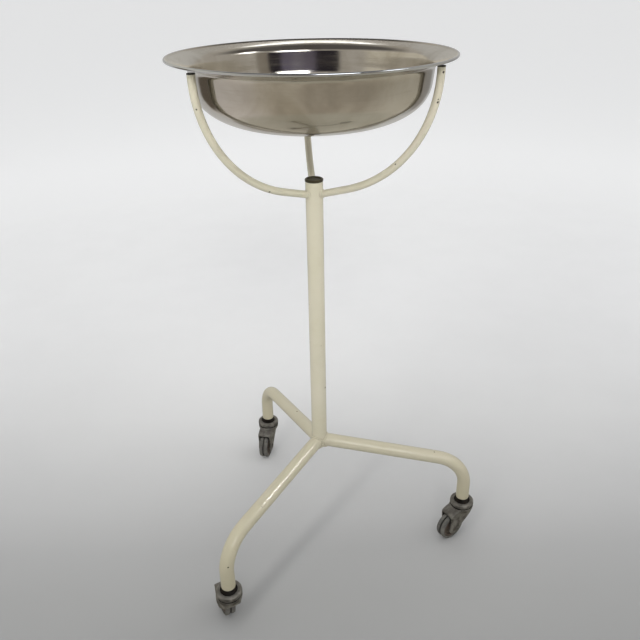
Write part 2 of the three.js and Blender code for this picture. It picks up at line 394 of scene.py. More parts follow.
def smooth_min(a, b, blend):
    return -smooth_max(-a, -b, blend)


def polygon_distance(x, y, polygon):
    corners = np.array(polygon, float)
    nearest = np.full(x.shape, 1e18)
    sign = np.ones(x.shape)
    for i, corner in enumerate(corners):
        before = corners[i - 1]
        edge_x, edge_y = before - corner
        to_x, to_y = x - corner[0], y - corner[1]
        t = np.clip((to_x * edge_x + to_y * edge_y) / (edge_x * edge_x + edge_y * edge_y), 0, 1)
        off_x, off_y = to_x - edge_x * t, to_y - edge_y * t
        nearest = np.minimum(nearest, off_x * off_x + off_y * off_y)
        above, below, left = y >= corner[1], y < before[1], edge_x * to_y > edge_y * to_x
        flip = (above & below & left) | (~above & ~below & ~left)
        sign = np.where(flip, -sign, sign)
    return sign * np.sqrt(nearest)


def extruded(outline, across, half, edge_r):
    """A flat distance carried to |across| < half, its edges rounded by edge_r."""
    a, b = outline + edge_r, np.abs(across) - half + edge_r
    corner = np.sqrt(np.maximum(a, 0) ** 2 + np.maximum(b, 0) ** 2)
    return np.minimum(np.maximum(a, b), 0) + corner - edge_r


def relax(shape, rounds, weight):
    """Draw each vertex towards the mean of its neighbours."""
    verts, faces = shape
    edges = np.concatenate([faces[:, [0, 1]], faces[:, [1, 2]], faces[:, [2, 3]], faces[:, [3, 0]]])
    for _ in range(rounds):
        total = np.zeros_like(verts)
        count = np.zeros(len(verts))
        for near, far in ((0, 1), (1, 0)):
            np.add.at(total, edges[:, near], verts[edges[:, far]])
            np.add.at(count, edges[:, near], 1)
        verts = verts * (1 - weight) + weight * total / np.maximum(count, 1)[:, None]
    return verts, faces


# ---------------------------------------------------------------- shader helpers
class Graph:
    """Short ways to build a shader node tree."""

    def __init__(self, tree):
        self.tree = tree
        self.shared = {}
        tree.nodes.clear()

    def node(self, kind, **props):
        node = self.tree.nodes.new("ShaderNode" + kind)
        for key, value in props.items():
            setattr(node, key, value)
        return node

    def source(self, kind, output):
        """Output of an input node that is made once per tree."""
        if kind not in self.shared:
            self.shared[kind] = self.node(kind)
        return self.shared[kind].outputs[output]

    def coords(self):
        return self.source("TexCoord", "Object")

    def glossy_ray(self):
        return self.source("LightPath", "Is Glossy Ray")

    def link(self, output, socket):
        self.tree.links.new(output, socket)

    def put(self, socket, value):
        if isinstance(value, bpy.types.NodeSocket):
            self.link(value, socket)
        else:
            if isinstance(value, tuple) and len(value) == 3 and socket.type == "RGBA":
                value = (*value, 1)
            socket.default_value = value

    def math(self, operation, a, b=0.0, c=None, clamp=False):
        node = self.node("Math", operation=operation, use_clamp=clamp)
        self.put(node.inputs[0], a)
        self.put(node.inputs[1], b)
        if c is not None:
            self.put(node.inputs[2], c)
        return node.outputs[0]

    def add(self, a, b):
        return self.math("ADD", a, b)

    def sub(self, a, b):
        return self.math("SUBTRACT", a, b)

    def mul(self, a, b):
        return self.math("MULTIPLY", a, b)

    def vary(self, base, source, by, clamp=False):
        """base + source * by"""
        return self.math("ADD", base, self.mul(source, by), clamp=clamp)

    def length(self, x, y):
        return self.math("SQRT", self.add(self.mul(x, x), self.mul(y, y)))

    def degrees(self, y, x):
        return self.math("DEGREES", self.math("ARCTAN2", y, x))

    def vector_math(self, operation, a, b, output=0):
        node = self.node("VectorMath", operation=operation)
        self.put(node.inputs[0], a)
        self.put(node.inputs[1], b)
        return node.outputs[output]

    def noise(self, scale, detail, rough, distortion=0.0, at=None):
        node = self.node("TexNoise")
        node.inputs["Scale"].default_value = scale
        node.inputs["Detail"].default_value = detail
        node.inputs["Roughness"].default_value = rough
        node.inputs["Distortion"].default_value = distortion
        self.link(at if at is not None else self.coords(), node.inputs["Vector"])
        return node.outputs["Fac"]

    def ramp(self, factor, stops):
        node = self.node("ValToRGB")
        elements = node.color_ramp.elements
        while len(elements) < len(stops):
            elements.new(0.5)
        for element, (position, color) in zip(elements, stops):
            element.position = position
            element.color = (*color, 1)
        self.link(factor, node.inputs[0])
        return node.outputs[0]

    def step(self, value, start, end):
        """Smooth 0 to 1 as value goes from start to end."""
        node = self.node("MapRange", interpolation_type="SMOOTHSTEP")
        self.put(node.inputs["Value"], value)
        node.inputs["From Min"].default_value = start
        node.inputs["From Max"].default_value = end
        return node.outputs[0]

    def between(self, value, low, high, soft):
        """1 from low to high, with edges that fade over soft to each side."""
        return self.mul(self.step(value, low - soft, low + soft),
                        self.step(value, high + soft, high - soft))

    def mix(self, factor, a, b):
        node = self.node("Mix", data_type="RGBA", blend_type="MIX")
        self.put(node.inputs[0], factor)
        self.put(node.inputs[6], a)
        self.put(node.inputs[7], b)
        return node.outputs[2]

    def tint(self, base, mask, color, amount):
        return self.mix(self.mul(mask, amount), base, color)

    def bump(self, height, strength, distance):
        node = self.node("Bump")
        node.inputs["Strength"].default_value = strength
        node.inputs["Distance"].default_value = distance
        self.link(height, node.inputs["Height"])
        return node.outputs[0]

    def split(self, vector):
        node = self.node("SeparateXYZ")
        self.link(vector, node.inputs[0])
        return node.outputs

    def combine(self, *values):
        node = self.node("CombineXYZ")
        for socket, value in zip(node.inputs, values):
            self.put(socket, value)
        return node.outputs[0]

    def openness(self, distance, samples):
        """1 in the open, less where surfaces within distance close in."""
        node = self.node("AmbientOcclusion", samples=samples)
        node.inputs["Distance"].default_value = distance
        return node.outputs["AO"]

    def edges(self, radius, start, end):
        """1 where the surface turns sharply within radius."""
        bevel = self.node("Bevel")
        bevel.samples = 6
        bevel.inputs["Radius"].default_value = radius
        normal = self.source("NewGeometry", "Normal")
        facing = self.vector_math("DOT_PRODUCT", bevel.outputs[0], normal, output=1)
        return self.step(self.sub(1.0, facing), start, end)


class Material(Graph):
    def __init__(self, name):
        self.material = bpy.data.materials.new(name)
        self.material.use_nodes = True
        super().__init__(self.material.node_tree)
        output = self.node("OutputMaterial")
        self.shader = self.node("BsdfPrincipled")
        self.link(self.shader.outputs[0], output.inputs["Surface"])

    def finish(self, **inputs):
        """Set the shader's inputs, with _ for each space; returns the material."""
        for key, value in inputs.items():
            self.put(self.shader.inputs[key.replace("_", " ")], value)
        return self.material


def srgb(*channels):
    """Linear colour from 0-255 sRGB channels."""
    return tuple((c / 255) / 12.92 if c / 255 <= 0.04045 else ((c / 255 + 0.055) / 1.055) ** 2.4
                 for c in channels)


# ---------------------------------------------------------------- enamel
ENAMEL = srgb(218, 212, 192)
ENAMEL_CLOUD = srgb(211, 206, 183)
ENAMEL_YELLOWED = srgb(204, 195, 166)
ENAMEL_LOW_SHADE = srgb(180, 172, 145)  # painted shade low on the stand

# paint chips: x, y, z, radius in mm
POST_CHIPS = [
    (-30.3, -16.7, 307.8, 1.5), (-29.5, -15.0, 651.0, 0.9), (-52.6, -16.5, 463.0, 0.7),
    (-36.0, -22.3, 391.0, 0.5),
]
LEG_CHIPS = [
    (-82.3, 74.9, 195.1, 1.3), (-183.2, -228.8, 128.6, 1.3), (156.9, -29.9, 178.1, 1.2),
    (-133.9, -156.4, 179.7, 0.7), (-6.4, -23.5, 187.3, 0.8), (60.0, -28.9, 190.0, 0.6),
    (-120.5, 148.0, 170.0, 0.9), (-98.0, -82.5, 198.0, 0.6),
]
ARM_CHIPS = [
    (-181.5, -115.9, 777.3, 1.2), (-102.7, -59.4, 656.2, 1.5), (118.6, -92.0, 811.2, 1.6),
    (114.6, -90.8, 779.3, 1.0), (114.3, -90.5, 775.6, 1.6), (66.7, -68.7, 693.3, 1.2),
    (-187.3, -115.2, 811.5, 1.6), (-179.4, -118.2, 808.0, 1.2), (-53.5, 165.0, 790.0, 1.0),
    (-50.0, 120.0, 700.0, 0.8),
]


def chip_mask(mat, chips):
    """1 inside any chip, with a ragged outline."""
    ragged = mat.noise(scale=900.0, detail=2.0, rough=0.6)
    total = None
    for x, y, z, radius in chips:
        centre = (x * MM, y * MM, z * MM)
        away = mat.vector_math("DISTANCE", mat.coords(), centre, output=1)
        away = mat.vary(away, mat.sub(ragged, 0.5), by=radius * MM * 1.6)
        chip = mat.step(away, start=radius * MM, end=radius * MM * 0.75)
        total = chip if total is None else mat.math("MAXIMUM", total, chip)
    return total


def enamel(name, chips, shade):
    """Chipped cream paint; a lower shade paints the whole part darker, as painted shade."""
    mat = Material(name)
    broad = mat.noise(scale=9.0, detail=3.0, rough=0.5)
    mid = mat.noise(scale=55.0, detail=4.0, rough=0.6)
    fine = mat.noise(scale=700.0, detail=2.0, rough=0.5)
    color = mat.mix(mat.step(broad, start=0.32, end=0.72), ENAMEL, ENAMEL_CLOUD)
    color = mat.tint(color, mat.step(mid, start=0.55, end=0.8), ENAMEL_YELLOWED, amount=0.35)
    height = mat.split(mat.coords())[2]
    # painted shade: the part darkened by 1 - shade
    color = mat.mix(1.0 - shade, color, srgb(120, 112, 84))
    # painted shade, darker low on the stand and in creases
    color = mat.tint(color, mat.step(height, start=0.30, end=0.06), ENAMEL_LOW_SHADE, amount=0.75)
    # painted shade where surfaces close in
    crease_shade = mat.step(mat.openness(distance=0.0032, samples=6), start=0.62, end=0.25)
    color = mat.tint(color, crease_shade, srgb(104, 90, 62), amount=0.85)
    # sparse pinprick chips in a few of the cells
    cells = mat.node("TexVoronoi", feature="F1")
    cells.inputs["Scale"].default_value = 42.0
    cells.inputs["Randomness"].default_value = 1.0
    mat.link(mat.coords(), cells.inputs["Vector"])
    chosen = mat.math("GREATER_THAN", mat.split(cells.outputs["Color"])[0], 0.955)
    centre_gap = mat.vary(cells.outputs["Distance"], fine, by=0.03)
    dots = mat.mul(mat.step(centre_gap, start=0.055, end=0.04), chosen)
    chip = mat.math("MAXIMUM", dots, chip_mask(mat, chips))
    color = mat.mix(chip, color, srgb(52, 44, 34))
    # painted shade: reflections see the paint darker
    color = mat.tint(color, mat.glossy_ray(), srgb(92, 84, 70), amount=0.72)
    rough = mat.vary(0.26, mid, by=0.14)
    rough = mat.vary(rough, chip, by=0.35, clamp=True)
    peel = mat.add(mat.mul(fine, 0.35), mat.mul(mid, 1.0))
    relief = mat.sub(peel, mat.mul(chip, 3.0))
    normal = mat.bump(relief, strength=0.22, distance=0.0004)
    return mat.finish(
        Base_Color=color, Roughness=rough, IOR=1.45, Specular_IOR_Level=0.06, Normal=normal,
        Coat_Weight=mat.mul(mat.sub(1.0, chip), 0.6), Coat_Roughness=0.02, Coat_IOR=1.5,
        Coat_Normal=mat.bump(mid, strength=0.06, distance=0.0003))


# ---------------------------------------------------------------- metals, rubber and plastics
def stainless():
    mat = Material("basin_stainless")
    x, y, z = mat.split(mat.vector_math("SUBTRACT", mat.coords(), (POST_X * MM, POST_Y * MM, 0.0)))
    angle = mat.math("ARCTAN2", y, x)
    radius = mat.length(x, y)

    def round_bowl(around, across):
        """Coordinates that stretch a noise into streaks round the bowl."""
        return mat.combine(mat.mul(angle, around), mat.mul(radius, across), mat.mul(z, across))

    turned = mat.noise(scale=3.0, detail=6.0, rough=0.65, at=round_bowl(1.3, 160.0))
    hairlines = mat.noise(scale=2.0, detail=3.0, rough=0.6, at=round_bowl(7.0, 620.0))
    stains = mat.noise(scale=14.0, detail=5.0, rough=0.6, distortion=0.6)
    color = mat.mix(mat.step(stains, start=0.35, end=0.75), srgb(208, 206, 202), srgb(187, 183, 175))
    color = mat.tint(color, mat.step(turned, start=0.5, end=0.78), srgb(172, 166, 154), amount=0.25)
    rolled_edge = mat.step(radius, start=0.1882, end=0.1892)
    color = mat.mix(rolled_edge, color, srgb(204, 209, 216))
    rough = mat.vary(0.08, mat.step(stains, start=0.3, end=0.8), by=0.06)
    rough = mat.vary(rough, mat.step(turned, start=0.42, end=0.75), by=0.07)
    relief = mat.add(mat.mul(turned, 0.6), mat.mul(hairlines, 0.4))
    normal = mat.bump(relief, strength=0.05, distance=0.0005)
    tangent = mat.node("Tangent", direction_type="RADIAL", axis="Z").outputs[0]
    return mat.finish(Base_Color=color, Metallic=1.0, Roughness=rough, Normal=normal,
                      Anisotropic=0.3, Tangent=tangent)


def casting():
    mat = Material("castor_casting")
    grain = mat.noise(scale=420.0, detail=5.0, rough=0.65)
    blot = mat.noise(scale=90.0, detail=4.0, rough=0.6, distortion=0.4)
    dust = mat.noise(scale=30.0, detail=3.0, rough=0.5)
    color = mat.mix(mat.step(blot, start=0.34, end=0.66), srgb(126, 124, 119), srgb(74, 72, 68))
    color = mat.tint(color, mat.step(dust, start=0.5, end=0.8), srgb(128, 118, 104), amount=0.4)
    worn = mat.edges(radius=0.0009, start=0.04, end=0.35)
    color = mat.tint(color, worn, srgb(176, 173, 168), amount=0.6)
    # painted light: faces turned upwards are lighter
    upward_light = mat.split(mat.source("NewGeometry", "Normal"))[2]
    color = mat.tint(color, mat.step(upward_light, start=0.1, end=0.9), srgb(150, 146, 138), amount=0.3)
    # painted shade: near-black where surfaces close in
    recess_shade = mat.step(mat.openness(distance=0.008, samples=8), start=0.88, end=0.42)
    color = mat.mix(recess_shade, color, srgb(14, 12, 10))
    rough = mat.vary(0.42, blot, by=0.25)
    normal = mat.bump(mat.vary(grain, blot, by=0.8), strength=0.35, distance=0.0004)
    return mat.finish(Base_Color=color, Metallic=0.55, Roughness=rough, Normal=normal)


def rubber():
    mat = Material("tyre_rubber")
    fine = mat.noise(scale=900.0, detail=4.0, rough=0.7)
    dust = mat.noise(scale=70.0, detail=5.0, rough=0.65, distortion=0.5)
    color = mat.mix(mat.step(dust, start=0.35, end=0.75), srgb(84, 83, 80), srgb(118, 115, 108))
    # painted shade: near-black where surfaces close in
    recess_shade = mat.step(mat.openness(distance=0.006, samples=8), start=0.82, end=0.35)
    color = mat.mix(recess_shade, color, srgb(14, 13, 12))
    return mat.finish(Base_Color=color, Roughness=mat.vary(0.68, dust, by=0.2), IOR=1.45,
                      Normal=mat.bump(mat.add(fine, dust), strength=0.3, distance=0.0004))


def wheel_centre():
    mat = Material("wheel_centre")
    fine = mat.noise(scale=500.0, detail=3.0, rough=0.6)
    blot = mat.noise(scale=110.0, detail=4.0, rough=0.6)
    color = mat.mix(mat.step(blot, start=0.35, end=0.7), srgb(92, 80, 70), srgb(62, 54, 48))
    return mat.finish(Base_Color=color, Roughness=mat.vary(0.5, fine, by=0.2),
                      Normal=mat.bump(fine, strength=0.2, distance=0.0003))


def bright_steel():
    mat = Material("bright_steel")
    fine = mat.noise(scale=600.0, detail=3.0, rough=0.6)
    rust = mat.noise(scale=160.0, detail=6.0, rough=0.7, distortion=0.5)
    rusty = mat.step(rust, start=0.52, end=0.68)
    color = mat.mix(rusty, srgb(92, 90, 86), srgb(72, 64, 56))
    return mat.finish(Base_Color=color, Metallic=mat.sub(1.0, mat.mul(rusty, 0.8)),
                      Roughness=mat.vary(0.5, rusty, by=0.3),
                      Normal=mat.bump(mat.add(fine, rust), strength=0.25, distance=0.0003))


def greasy_steel():
    mat = Material("greasy_steel")
    fine = mat.noise(scale=500.0, detail=3.0, rough=0.6)
    blot = mat.noise(scale=150.0, detail=5.0, rough=0.65, distortion=0.4)
    color = mat.mix(mat.step(blot, start=0.45, end=0.72), srgb(18, 15, 12), srgb(44, 34, 25))
    return mat.finish(Base_Color=color, Metallic=0.35, Roughness=mat.vary(0.4, blot, by=0.3),
                      Specular_IOR_Level=0.35,
                      Normal=mat.bump(mat.add(fine, blot), strength=0.3, distance=0.0003))


def black_plastic(name, clean, dusty, worn):
    mat = Material(name)
    fine = mat.noise(scale=1100.0, detail=3.0, rough=0.6)
    dust = mat.noise(scale=120.0, detail=4.0, rough=0.6)
    color = mat.mix(mat.step(dust, start=0.4, end=0.8), clean, dusty)
    color = mat.tint(color, mat.edges(radius=0.0006, start=0.05, end=0.4), worn, amount=0.35)
    return mat.finish(Base_Color=color, Roughness=mat.vary(0.38, dust, by=0.2),
                      Normal=mat.bump(fine, strength=0.15, distance=0.0002))


# finishes: (material, slot)
BASIN_STEEL = (stainless(), "basin_steel")
CASTING = (casting(), "castor_casting")
RUBBER = (rubber(), "tyre_rubber")
CENTRE = (wheel_centre(), "wheel_centre")
STEEL = (bright_steel(), "bright_steel")
GREASY = (greasy_steel(), "bright_steel")
PLASTIC = (black_plastic("black_plastic", clean=srgb(50, 46, 30), dusty=srgb(80, 74, 50),
                         worn=srgb(104, 100, 84)), "black_plastic")
CAP_PLASTIC = (black_plastic("cap_plastic", clean=srgb(22, 21, 18), dusty=srgb(40, 38, 32),
                             worn=srgb(60, 58, 50)), "black_plastic")
# the three enamels differ in their painted shade
POST_ENAMEL = (enamel("enamel_post", POST_CHIPS, shade=0.93), "enamel")
LEG_ENAMEL = (enamel("enamel_leg", LEG_CHIPS, shade=0.85), "enamel")
ARM_ENAMEL = (enamel("enamel_arm", ARM_CHIPS, shade=0.90), "enamel")

# ---------------------------------------------------------------- basin
# outer face of the bowl, from the centre of its base to the lip: radius, z
BOWL = [
    (0, 735.0), (30, 735.0), (62, 735.15), (86, 738.4), (112, 744.8), (129, 752.0),
    (141.2, 760.0), (148.0, 766.4), (152.2, 771.8), (155.3, 777.4), (157.6, 783.2),
    (158.9, 788.4), (160.4, 799.0), (162.0, 810.8), (162.6, 813.0), (164.1, 815.5),
    (166.9, 817.7), (170.6, 819.5), (175.2, 821.2), (181.0, 823.0), (186.9, 824.7),
]
BOWL_WALL = 1.0
BEAD_AT = (189.75, 826.0)  # centre of the rolled edge: radius, z
BEAD_R = 1.85
BEAD_START, BEAD_END = math.radians(-152), math.radians(158)


def bowl_profile():
    """Outer face, rolled edge, then the inner face back to the centre."""
    outer = spline(BOWL, 7)
    along = np.gradient(outer, axis=0)
    along /= np.linalg.norm(along, axis=1)[:, None]
    inner = outer + np.stack([-along[:, 1], along[:, 0]], 1) * BOWL_WALL
    inner[0] = (0, outer[0][1] + BOWL_WALL)
    bead = [(BEAD_AT[0] + BEAD_R * math.cos(a), BEAD_AT[1] + BEAD_R * math.sin(a))
            for a in np.linspace(BEAD_START, BEAD_END, 20)]
    return [tuple(p) for p in outer] + bead + [tuple(p) for p in inner[::-1]]


def bowl_wobble(r, z, angle):
    """Slight unevenness, none at the base and most at the rolled edge."""
    if r > 188:
        return (r + 0.10 * math.sin(3 * angle + 1.0),
                z + 0.16 * math.sin(2 * angle + 0.4) + 0.05 * math.sin(7 * angle))
    share = min(max((r - 60) / 90, 0), 1)
    dent = (0.05 * math.sin(5 * angle + z * 0.06) + 0.04 * math.sin(9 * angle - z * 0.11 + 2)
            + 0.06 * math.sin(2 * angle + 1))
    lip_share = max(0, (r - 160) / 30)
    return r + share * dent, z + share * 0.10 * math.sin(2 * angle + 0.4) * lip_share


add_mesh("basin_pressed_bowl", lathe(bowl_profile(), 192, wobble=bowl_wobble), BASIN_STEEL,
         "basin", POST_AT, replaced="basin")

# ---------------------------------------------------------------- post and its plug
POST_WALL = 1.5
POST_BORE_R = POST_R - POST_WALL

# (radius, z) up the outside and back down the bore, with eased ends
post_profile = [(POST_BORE_R, POST_BOTTOM + 0.3), (POST_R - 1.2, POST_BOTTOM),
                (POST_R - 0.35, POST_BOTTOM), (POST_R, POST_BOTTOM + 0.4)]
post_profile += [(POST_R, z) for z in np.linspace(POST_BOTTOM + 4, POST_TOP - 1.2, 40)]
post_profile += [(POST_R - 0.1, POST_TOP - 0.5), (POST_R - 0.45, POST_TOP),
                 (POST_R - 1.2, POST_TOP), (POST_BORE_R, POST_TOP - 0.3)]
post_profile += [(POST_BORE_R, z) for z in np.linspace(POST_TOP - 4, POST_BOTTOM + 4, 8)]
add_mesh("post", lathe(post_profile, 72), POST_ENAMEL, "stand", POST_AT,
         replaced="post_tube", sharp=50)

# radius, height over the post's top
PLUG = [(0, -14), (10.2, -14), (10.9, -12), (10.9, 0.25), (13.25, 0.3), (13.35, 3.0),
        (12.2, 4.1), (10.6, 3.9), (9.9, 1.7), (6.0, 2.5), (0, 2.9)]
PLUG_CORNERS = [0, 0.4, 0.4, 0.15, 0.5, 0.9, 0.4, 0.5, 0.8, 3, 0]
add_mesh("post_plug", lathe(rounded(lifted(PLUG, POST_TOP), PLUG_CORNERS, 4), 64), PLASTIC,
         "stand", POST_AT, replaced="post_top_plug", sharp=50)

# ---------------------------------------------------------------- legs
LEG_R, LEG_WALL = 11.2, 1.5
LEG_HUB_Z = 199.1   # where the leg's axis meets the post's axis
LEG_KNEE_Z = 158.0  # where its sloping and upright axes would meet
LEG_BEND = 56.0
LEG_DROP = math.atan2(LEG_HUB_Z - LEG_KNEE_Z, LEG_REACH)
LEG_WELD = 1.7      # bead size


def leg_path():
    """(distance, height) stations: a slope down, a bend, then straight down."""
    turn = math.pi / 2 - LEG_DROP
    setback = LEG_BEND * math.tan(turn / 2)
    bend_start = LEG_REACH - setback * math.cos(LEG_DROP)
    path = [(POST_R, LEG_HUB_Z - POST_R * math.tan(LEG_DROP))]
    for t in np.linspace(0.07, 1, 16):
        x = POST_R + (bend_start - POST_R) * t
        path.append((x, LEG_HUB_Z - x * math.tan(LEG_DROP)))
    for i in range(1, 25):
        angle = math.pi / 2 - LEG_DROP - turn * i / 24
        path.append((LEG_REACH - LEG_BEND + LEG_BEND * math.cos(angle),
                     LEG_KNEE_Z - setback + LEG_BEND * math.sin(angle)))
    for z in np.linspace(path[-1][1], LEG_END_Z, 6)[1:]:
        path.append((LEG_REACH, z))
    return path


def leg_bulge(t, theta):
    """The tube goes slightly oval at the bend."""
    near_bend = math.exp(-((t - 0.72) / 0.12) ** 2)
    return -0.28 * near_bend * math.sin(theta) ** 2 + 0.2 * near_bend * math.cos(theta) ** 2


for i, side in enumerate(CASTOR_SIDES):
    tube = bent_tube(leg_path(), LEG_R, LEG_WALL, 48, -LEG_DROP, LEG_HUB_Z, leg_bulge)
    add_mesh(f"leg_{side}_tube", tube, LEG_ENAMEL, "stand", POST_AT, LEG_TURN[side],
             replaced=f"leg_{side}", sharp=50)
    bead = weld_bead(LEG_R, -LEG_DROP, LEG_HUB_Z, LEG_WELD, seed=10 + i, segs=120)
    add_mesh(f"leg_{side}_weld", bead, LEG_ENAMEL, "stand", POST_AT, LEG_TURN[side])

# ---------------------------------------------------------------- arms
ARM_R, ARM_WALL = 5.2, 1.3
ARM_HUB_Z = 638.8             # height of the arm's axis at the post's face
ARM_RISE = math.radians(16)
ARM_STRAIGHT, ARM_BEND = 40.0, 172.0
ARM_AXIS_Z = ARM_HUB_Z - POST_R * math.tan(ARM_RISE)  # the same axis at the post's centre
ARM_INTO_CAP = 0.9
ARM_WELD = 1.3

# radius, height over the arm's tip
TIP_CAP = [(0, -8), (3.0, -8), (3.0, 1.0), (5.35, 1.0), (5.4, 2.5), (0, 2.6)]
TIP_CAP_CORNERS = [0, 0.3, 0.1, 0.25, 0.8, 0]


def arm_path():
    """(distance, height) stations: a gentle rise, a wide bend, then straight up."""
    bend_x = POST_R + ARM_STRAIGHT * math.cos(ARM_RISE)
    bend_z = ARM_HUB_Z + ARM_STRAIGHT * math.sin(ARM_RISE)
    path = [(POST_R, ARM_HUB_Z)]
    for t in (0.12, 0.4, 0.7, 1.0):
        path.append((POST_R + (bend_x - POST_R) * t, ARM_HUB_Z + (bend_z - ARM_HUB_Z) * t))
    for i in range(1, 41):
        angle = ARM_RISE + (math.pi / 2 - ARM_RISE) * i / 40
        path.append((bend_x + ARM_BEND * (math.sin(angle) - math.sin(ARM_RISE)),
                     bend_z + ARM_BEND * (math.cos(ARM_RISE) - math.cos(angle))))
    path.append((path[-1][0], ARM_TIP_Z + ARM_INTO_CAP))
    return path


for i, side in enumerate(ARM_SIDES):
    turn = bearing(POST_AT, CAP[side])
    tube = bent_tube(arm_path(), ARM_R, ARM_WALL, 32, ARM_RISE, ARM_AXIS_Z)
    add_mesh(f"arm_{side}_tube", tube, ARM_ENAMEL, "stand", POST_AT, turn,
             replaced=f"arm_{side}", sharp=50)
    bead = weld_bead(ARM_R, ARM_RISE, ARM_AXIS_Z, ARM_WELD, seed=20 + i, segs=90)
    add_mesh(f"arm_{side}_weld", bead, ARM_ENAMEL, "stand", POST_AT, turn)
    add_mesh(f"arm_{side}_tip_cap", lathe(rounded(TIP_CAP, TIP_CAP_CORNERS, 4), 40), CAP_PLASTIC,
             "stand", (*CAP[side], ARM_TIP_Z), replaced=f"arm_{side}_cap", sharp=50)

# ---------------------------------------------------------------- castors
# Local frame: swivel axis on Z, wheel trailing along +X, floor at z = 0.
FORK_CELL = 0.62  # grid spacing of the casting's distance field
HOOD_HALF, WELL_HALF = 13.3, 9.55
WELL_R = 28.7
POCKET_R, POCKET_BOTTOM, POCKET_TOP = 9.0, 30, 58.4
STEM_HOLE_R, AXLE_HOLE_R = 6.3, 3.35
CHEEK_END_R = 11.2  # round end of each cheek, about the axle
BOSS_R, BOSS_INNER, BOSS_OUTER = 5.4, 9.6, 13.6
GROOVE_INSET, GROOVE_HALF, GROOVE_FLOOR, GROOVE_TOP = 2.6, 0.35, 12.95, 47

# turned head under the bearing: radius, z
HEAD = [(0, 45), (9.5, 44.5), (14.5, 48.5), (18.6, 54.5), (20.4, 59), (20.5, SEAT_Z - 0.2),
        (-3, SEAT_Z - 0.2), (-3, 45)]
# side outline of the hood and its two cheeks: x, z
CHEEK = [(-15.3, 59), (-14.8, 51.5), (-11, 44.5), (-4, 37.3), (6, 29)]
CHEEK += [(TRAIL + CHEEK_END_R * math.cos(a), WHEEL_R + CHEEK_END_R * math.sin(a))
          for a in np.radians(np.linspace(-150, 0, 14))]
CHEEK += [(33.6, 36), (34.5, 47), (35.0, 53.4), (33.6, 56.4), (26.5, 60.0), (17, 62.2),
          (-12, 62.2)]
# opening below and on the +X side of the wheel: x, z
WELL = [(-3, -6), (60, -6), (60, 42), (36, 52.0), (25, 30), (-3, 30)]


def fork_shape():
    x = np.arange(-24, 40.5, FORK_CELL)
    y = np.arange(-24, 24.1, FORK_CELL)
    z = np.arange(10, 66.5, FORK_CELL)
    X, Y, Z = np.meshgrid(x, y, z, indexing="ij")
    swivel_r = np.hypot(X, Y)
    axle_r = np.hypot(X - TRAIL, Z - WHEEL_R)
    head = polygon_distance(swivel_r, Z, HEAD)
    cheek = polygon_distance(X, Z, CHEEK)
    body = smooth_min(head, extruded(cheek, Y, HOOD_HALF, edge_r=1.3), blend=3.5)
    well = np.minimum(axle_r - WELL_R, polygon_distance(X, Z, WELL))
    body = smooth_max(body, -extruded(well, Y, WELL_HALF, edge_r=1.2), blend=0.9)
    pocket = np.maximum(swivel_r - POCKET_R, np.maximum(Z - POCKET_TOP, POCKET_BOTTOM - Z))
    body = smooth_max(body, -pocket, blend=0.5)
    body = np.maximum(body, -(swivel_r - STEM_HOLE_R))
    # a boss at the axle and a shallow groove inside the outline of each cheek
    boss = np.maximum(axle_r - BOSS_R, np.abs(Y) - BOSS_OUTER)
    boss = np.maximum(boss, BOSS_INNER - np.abs(Y))
    body = smooth_min(body, boss, blend=0.8)
    groove = np.maximum(np.abs(cheek + GROOVE_INSET) - GROOVE_HALF, GROOVE_FLOOR - np.abs(Y))
    body = smooth_max(body, -np.maximum(groove, Z - GROOVE_TOP), blend=0.35)
    body = np.maximum(body, -(axle_r - AXLE_HOLE_R))
    body = np.maximum(body, Z - (SEAT_Z - 0.02))
    return relax(surface_nets(body, (x[0], y[0], z[0]), FORK_CELL), rounds=2, weight=0.45)


# Profiles about the swivel axis: radius, height over SEAT_Z unless said.
CUP = [(7.2, 0.75), (19.3, 0.75), (20.75, 3.0), (20.4, 7.6), (17.4, 9.75), (13.5, 9.1),
       (13.35, 6.4), (14.4, 5.4), (14.4, 2.1), (7.2, 2.1)]
CUP_CORNERS = [0, 1.1, 1.6, 1.8, 1.8, 0.8, 0.5, 0.4, 0.6, 0]
RACE = [(6.4, 2.5), (12.4, 2.5), (13.2, 3.1), (13.2, 5.3), (12.4, 5.9), (11.4, 5.2),
        (7.8, 5.2), (6.4, 5.9)]
BALL_R, BALL_COUNT, BALL_RING_R, BALL_RISE = 1.6, 12, 9.6, 4.3
STEM_FOOT = [(0, 54.7), (7.4, 54.7), (8.2, 55.8), (8.0, 57.2), (5.6, 58.0)]  # z over the floor
STEM_COLLAR = [(5.6, 6.3), (11.6, 6.3), (12.2, 7.2), (12.0, 8.4), (7.6, 11.0), (5.6, 13.0)]
STEM_TOP = [(5.6, 113.2), (4.4, 114.3), (0, 114.4)]  # z over the floor
STEM = STEM_FOOT + lifted(STEM_COLLAR, SEAT_Z) + STEM_TOP
# radius, height over the leg's end
SLEEVE = [(5.9, -1.6), (10.3, -1.7), (10.8, -0.3), (9.25, -0.3), (9.2, 28), (8.6, 29), (5.9, 29)]

# Profiles about the axle: radius, distance from the wheel's middle plane.
AXLE = mirrored([(0, -14.3), (1.2, -14.3), (1.6, -14.7), (3.4, -14.6), (4.3, -13.9),
                 (4.4, -13.65), (3.05, -13.6)])
BUSH = mirrored([(3.36, -8.8), (4.5, -8.8), (4.8, -8.5)])
HUB = mirrored([(5.1, -8.0), (7.8, -8.2), (8.6, -5.4), (9.4, -4.7), (15.4, -4.7), (16.3, -5.6),
                (16.7, -7.5), (19.4, -7.5), (19.5, -6.6), (17.1, -6.5)])
TREAD_R = WHEEL_R - 0.02
TYRE = [(17.3, 0), *mirrored([
    (17.3, -6.3), (19.8, -6.4), (20.2, -8.3), (22.4, -8.5), (24.2, -7.7), (TREAD_R, -5.6),
    (TREAD_R, -3.2), (TREAD_R - 0.3, -1.9), (TREAD_R - 1.5, -1.2), (TREAD_R - 3.2, -0.8),
]), (17.3, 0.01)]


